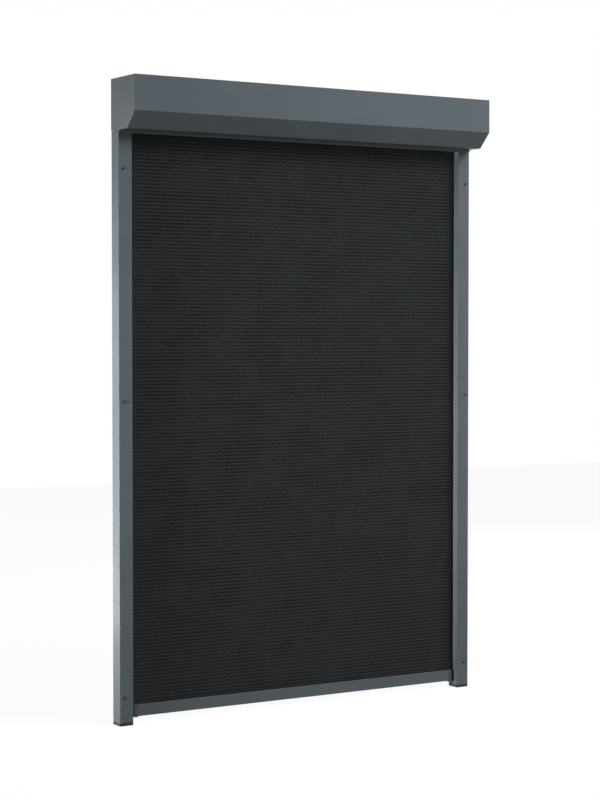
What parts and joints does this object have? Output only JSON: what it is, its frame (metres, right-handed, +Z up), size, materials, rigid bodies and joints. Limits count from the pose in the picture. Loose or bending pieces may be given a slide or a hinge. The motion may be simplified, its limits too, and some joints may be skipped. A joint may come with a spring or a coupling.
{
  "type": "zip screen blind",
  "caption": "Motorised zip screen blind: chamfered square cassette, side guides, ribbed screen cloth and bottom bar.",
  "frame": {"origin": "under the middle of the blind, at the height of its feet", "axes": "+X to the right for someone who looks at the front, +Y back to the wall, +Z up"},
  "size_m": [1.054, 0.125, 1.57],
  "materials": {
    "painted_aluminium": "fine matt powder coat, anthracite grey",
    "black_plastic": "moulded black, fine grain",
    "grey_plastic": "moulded dark grey, fine grain",
    "black_rubber": "matt",
    "screen_cloth": "coated glass-fibre screen weave, charcoal",
    "zip_tape": "smooth welded tape",
    "dark_screws": "blackened steel",
    "zinc_steel": "zinc plated",
    "bright_steel": "turned",
    "motor_tube": "satin",
    "pale_nylon": "moulded"
  },
  "bodies": {
    "housing": {"cassette_back_profile": "painted_aluminium", "cassette_front_cover": "painted_aluminium", "exit_lip": "painted_aluminium", "end_cap_left": "painted_aluminium", "end_cap_right": "painted_aluminium", "guide_base_left": "painted_aluminium", "guide_base_right": "painted_aluminium", "guide_cover_left": "painted_aluminium", "guide_cover_right": "painted_aluminium", "cover_screws": "dark_screws", "back_screws": "dark_screws", "guide_screws_left": "dark_screws", "guide_screws_right": "dark_screws", "bracket_screws_left": "zinc_steel", "bracket_screws_right": "zinc_steel", "motor_bracket": "zinc_steel", "idler_bracket": "zinc_steel", "motor_body": "motor_tube", "motor_head": "black_plastic", "idler_bush": "pale_nylon", "cable_grommet": "black_rubber", "zip_insert_left": "black_plastic", "zip_insert_right": "black_plastic", "guide_inlet_left": "black_plastic", "guide_inlet_right": "black_plastic", "guide_foot_left": "black_plastic", "guide_foot_right": "black_plastic", "screen_fabric": "screen_cloth", "zip_strip_left": "zip_tape", "zip_strip_right": "zip_tape"},
    "roller": {"roller_tube": "zinc_steel", "roller_keder": "black_plastic", "fabric_roll": "screen_cloth", "motor_shaft": "bright_steel", "motor_crown": "black_plastic", "drive_wheel": "black_plastic", "drive_screw": "zinc_steel", "idler_plug": "black_plastic", "idler_pin": "bright_steel", "idler_clip": "bright_steel"},
    "bar": {"bottom_bar": "painted_aluminium", "bar_keder": "black_plastic", "weight_rod": "bright_steel", "bar_seal": "black_rubber", "bar_end_cap_left": "grey_plastic", "bar_end_cap_right": "grey_plastic", "bar_glider_left": "black_plastic", "bar_glider_right": "black_plastic"}
  },
  "joints": [
    {"name": "bar_slide", "type": "slide", "parent": "housing", "child": "bar", "axis": [0, 0, 1], "range_m": [0, 1.419], "deforming": ["screen_fabric", "zip_strip_left", "zip_strip_right"]},
    {"name": "roller_turn", "type": "hinge", "parent": "housing", "child": "roller", "pos_m": [0, 0.00532, 1.5075], "axis": [1, 0, 0], "range_deg": [0, 1928]}
  ],
  "couplings": [
    {"joint": "roller_turn", "follows": "bar_slide", "rad_per_m": 23.7}
  ]
}
